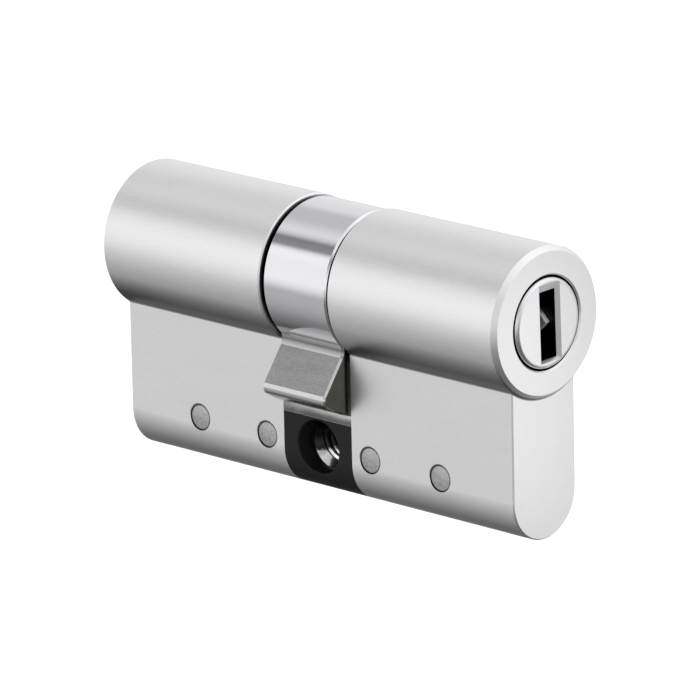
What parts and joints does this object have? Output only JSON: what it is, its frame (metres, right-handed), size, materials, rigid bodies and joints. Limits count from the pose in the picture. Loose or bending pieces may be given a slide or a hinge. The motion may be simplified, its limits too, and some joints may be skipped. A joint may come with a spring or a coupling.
{
  "type": "deadbolt lock cylinder",
  "caption": "Double profile cylinder for a deadbolt lock: keyed plugs in a round head over a flat web, a turning cam between the halves and a threaded fixing hole.",
  "frame": {"origin": "centre of the fixing screw's thread, in the middle of the bridge bar", "axes": "+X along the plugs to the outside keyed face; +Z from the fixing thread up to the plug axis; the cam lobe rests towards -Y"},
  "size_m": [0.0604, 0.0173, 0.033],
  "materials": {
    "nickel_satin": "satin nickel plating on brass",
    "nickel_plug": "fine satin nickel plating on brass",
    "cam_steel": "polished, nickel plated",
    "spacer_black": "satin black, moulded",
    "bar_steel": "machined, zinc plated",
    "cross_pin_steel": "matte, turned ends",
    "pin_brass": "turned",
    "spring_steel": "drawn wire",
    "clutch_steel": "machined"
  },
  "bodies": {
    "housing": {"bridge_bar": "bar_steel", "spacer": "spacer_black", "body_outside": "nickel_satin", "snap_ring_outside": "spring_steel", "cross_pin_outside_1": "cross_pin_steel", "cross_pin_outside_2": "cross_pin_steel", "chamber_cap_outside_1": "pin_brass", "pin_spring_outside_1": "spring_steel", "chamber_cap_outside_2": "pin_brass", "pin_spring_outside_2": "spring_steel", "chamber_cap_outside_3": "pin_brass", "pin_spring_outside_3": "spring_steel", "chamber_cap_outside_4": "pin_brass", "pin_spring_outside_4": "spring_steel", "chamber_cap_outside_5": "pin_brass", "pin_spring_outside_5": "spring_steel", "body_inside": "nickel_satin", "snap_ring_inside": "spring_steel", "cross_pin_inside_1": "cross_pin_steel", "cross_pin_inside_2": "cross_pin_steel", "chamber_cap_inside_1": "pin_brass", "pin_spring_inside_1": "spring_steel", "chamber_cap_inside_2": "pin_brass", "pin_spring_inside_2": "spring_steel", "chamber_cap_inside_3": "pin_brass", "pin_spring_inside_3": "spring_steel", "chamber_cap_inside_4": "pin_brass", "pin_spring_inside_4": "spring_steel", "chamber_cap_inside_5": "pin_brass", "pin_spring_inside_5": "spring_steel"},
    "outside_plug": {"plug_outside": "nickel_plug"},
    "inside_plug": {"plug_inside": "nickel_plug"},
    "cam": {"cam": "cam_steel"},
    "clutch": {"clutch_shaft": "clutch_steel", "clutch_dog_outside": "clutch_steel", "clutch_dog_inside": "clutch_steel"},
    "key_pin_outside_1": {"key_pin_outside_1": "pin_brass"},
    "driver_pin_outside_1": {"driver_pin_outside_1": "pin_brass"},
    "key_pin_outside_2": {"key_pin_outside_2": "pin_brass"},
    "driver_pin_outside_2": {"driver_pin_outside_2": "pin_brass"},
    "key_pin_outside_3": {"key_pin_outside_3": "pin_brass"},
    "driver_pin_outside_3": {"driver_pin_outside_3": "pin_brass"},
    "key_pin_outside_4": {"key_pin_outside_4": "pin_brass"},
    "driver_pin_outside_4": {"driver_pin_outside_4": "pin_brass"},
    "key_pin_outside_5": {"key_pin_outside_5": "pin_brass"},
    "driver_pin_outside_5": {"driver_pin_outside_5": "pin_brass"},
    "key_pin_inside_1": {"key_pin_inside_1": "pin_brass"},
    "driver_pin_inside_1": {"driver_pin_inside_1": "pin_brass"},
    "key_pin_inside_2": {"key_pin_inside_2": "pin_brass"},
    "driver_pin_inside_2": {"driver_pin_inside_2": "pin_brass"},
    "key_pin_inside_3": {"key_pin_inside_3": "pin_brass"},
    "driver_pin_inside_3": {"driver_pin_inside_3": "pin_brass"},
    "key_pin_inside_4": {"key_pin_inside_4": "pin_brass"},
    "driver_pin_inside_4": {"driver_pin_inside_4": "pin_brass"},
    "key_pin_inside_5": {"key_pin_inside_5": "pin_brass"},
    "driver_pin_inside_5": {"driver_pin_inside_5": "pin_brass"}
  },
  "joints": [
    {"name": "outside_plug_turn", "type": "hinge", "parent": "housing", "child": "outside_plug", "pos_m": [0.015, 0, 0.0186], "axis": [1, 0, 0], "continuous": true},
    {"name": "inside_plug_turn", "type": "hinge", "parent": "housing", "child": "inside_plug", "pos_m": [-0.015, 0, 0.0186], "axis": [1, 0, 0], "continuous": true},
    {"name": "cam_turn", "type": "hinge", "parent": "housing", "child": "cam", "pos_m": [0, 0, 0.0186], "axis": [1, 0, 0], "continuous": true},
    {"name": "clutch_shift", "type": "slide", "parent": "cam", "child": "clutch", "axis": [1, 0, 0], "range_m": [0, 0.0025]},
    {"name": "key_pin_outside_1_lift", "type": "slide", "parent": "outside_plug", "child": "key_pin_outside_1", "axis": [0, 0, 1], "range_m": [0, 0.002]},
    {"name": "driver_pin_outside_1_slide", "type": "slide", "parent": "housing", "child": "driver_pin_outside_1", "axis": [0, 0, 1], "range_m": [-0.002, 0], "stiffness_N_per_m": 200, "springref_m": 0.0025, "deforming": ["pin_spring_outside_1"]},
    {"name": "key_pin_outside_2_lift", "type": "slide", "parent": "outside_plug", "child": "key_pin_outside_2", "axis": [0, 0, 1], "range_m": [0, 0.0028]},
    {"name": "driver_pin_outside_2_slide", "type": "slide", "parent": "housing", "child": "driver_pin_outside_2", "axis": [0, 0, 1], "range_m": [-0.002, 0], "stiffness_N_per_m": 200, "springref_m": 0.0025, "deforming": ["pin_spring_outside_2"]},
    {"name": "key_pin_outside_3_lift", "type": "slide", "parent": "outside_plug", "child": "key_pin_outside_3", "axis": [0, 0, 1], "range_m": [0, 0.0015]},
    {"name": "driver_pin_outside_3_slide", "type": "slide", "parent": "housing", "child": "driver_pin_outside_3", "axis": [0, 0, 1], "range_m": [-0.002, 0], "stiffness_N_per_m": 200, "springref_m": 0.0025, "deforming": ["pin_spring_outside_3"]},
    {"name": "key_pin_outside_4_lift", "type": "slide", "parent": "outside_plug", "child": "key_pin_outside_4", "axis": [0, 0, 1], "range_m": [0, 0.0024]},
    {"name": "driver_pin_outside_4_slide", "type": "slide", "parent": "housing", "child": "driver_pin_outside_4", "axis": [0, 0, 1], "range_m": [-0.002, 0], "stiffness_N_per_m": 200, "springref_m": 0.0025, "deforming": ["pin_spring_outside_4"]},
    {"name": "key_pin_outside_5_lift", "type": "slide", "parent": "outside_plug", "child": "key_pin_outside_5", "axis": [0, 0, 1], "range_m": [0, 0.0029]},
    {"name": "driver_pin_outside_5_slide", "type": "slide", "parent": "housing", "child": "driver_pin_outside_5", "axis": [0, 0, 1], "range_m": [-0.002, 0], "stiffness_N_per_m": 200, "springref_m": 0.0025, "deforming": ["pin_spring_outside_5"]},
    {"name": "key_pin_inside_1_lift", "type": "slide", "parent": "inside_plug", "child": "key_pin_inside_1", "axis": [0, 0, 1], "range_m": [0, 0.002]},
    {"name": "driver_pin_inside_1_slide", "type": "slide", "parent": "housing", "child": "driver_pin_inside_1", "axis": [0, 0, 1], "range_m": [-0.002, 0], "stiffness_N_per_m": 200, "springref_m": 0.0025, "deforming": ["pin_spring_inside_1"]},
    {"name": "key_pin_inside_2_lift", "type": "slide", "parent": "inside_plug", "child": "key_pin_inside_2", "axis": [0, 0, 1], "range_m": [0, 0.0028]},
    {"name": "driver_pin_inside_2_slide", "type": "slide", "parent": "housing", "child": "driver_pin_inside_2", "axis": [0, 0, 1], "range_m": [-0.002, 0], "stiffness_N_per_m": 200, "springref_m": 0.0025, "deforming": ["pin_spring_inside_2"]},
    {"name": "key_pin_inside_3_lift", "type": "slide", "parent": "inside_plug", "child": "key_pin_inside_3", "axis": [0, 0, 1], "range_m": [0, 0.0015]},
    {"name": "driver_pin_inside_3_slide", "type": "slide", "parent": "housing", "child": "driver_pin_inside_3", "axis": [0, 0, 1], "range_m": [-0.002, 0], "stiffness_N_per_m": 200, "springref_m": 0.0025, "deforming": ["pin_spring_inside_3"]},
    {"name": "key_pin_inside_4_lift", "type": "slide", "parent": "inside_plug", "child": "key_pin_inside_4", "axis": [0, 0, 1], "range_m": [0, 0.0024]},
    {"name": "driver_pin_inside_4_slide", "type": "slide", "parent": "housing", "child": "driver_pin_inside_4", "axis": [0, 0, 1], "range_m": [-0.002, 0], "stiffness_N_per_m": 200, "springref_m": 0.0025, "deforming": ["pin_spring_inside_4"]},
    {"name": "key_pin_inside_5_lift", "type": "slide", "parent": "inside_plug", "child": "key_pin_inside_5", "axis": [0, 0, 1], "range_m": [0, 0.0029]},
    {"name": "driver_pin_inside_5_slide", "type": "slide", "parent": "housing", "child": "driver_pin_inside_5", "axis": [0, 0, 1], "range_m": [-0.002, 0], "stiffness_N_per_m": 200, "springref_m": 0.0025, "deforming": ["pin_spring_inside_5"]}
  ],
  "couplings": [
    {"joint": "cam_turn", "follows": "outside_plug_turn", "ratio": 1}
  ]
}
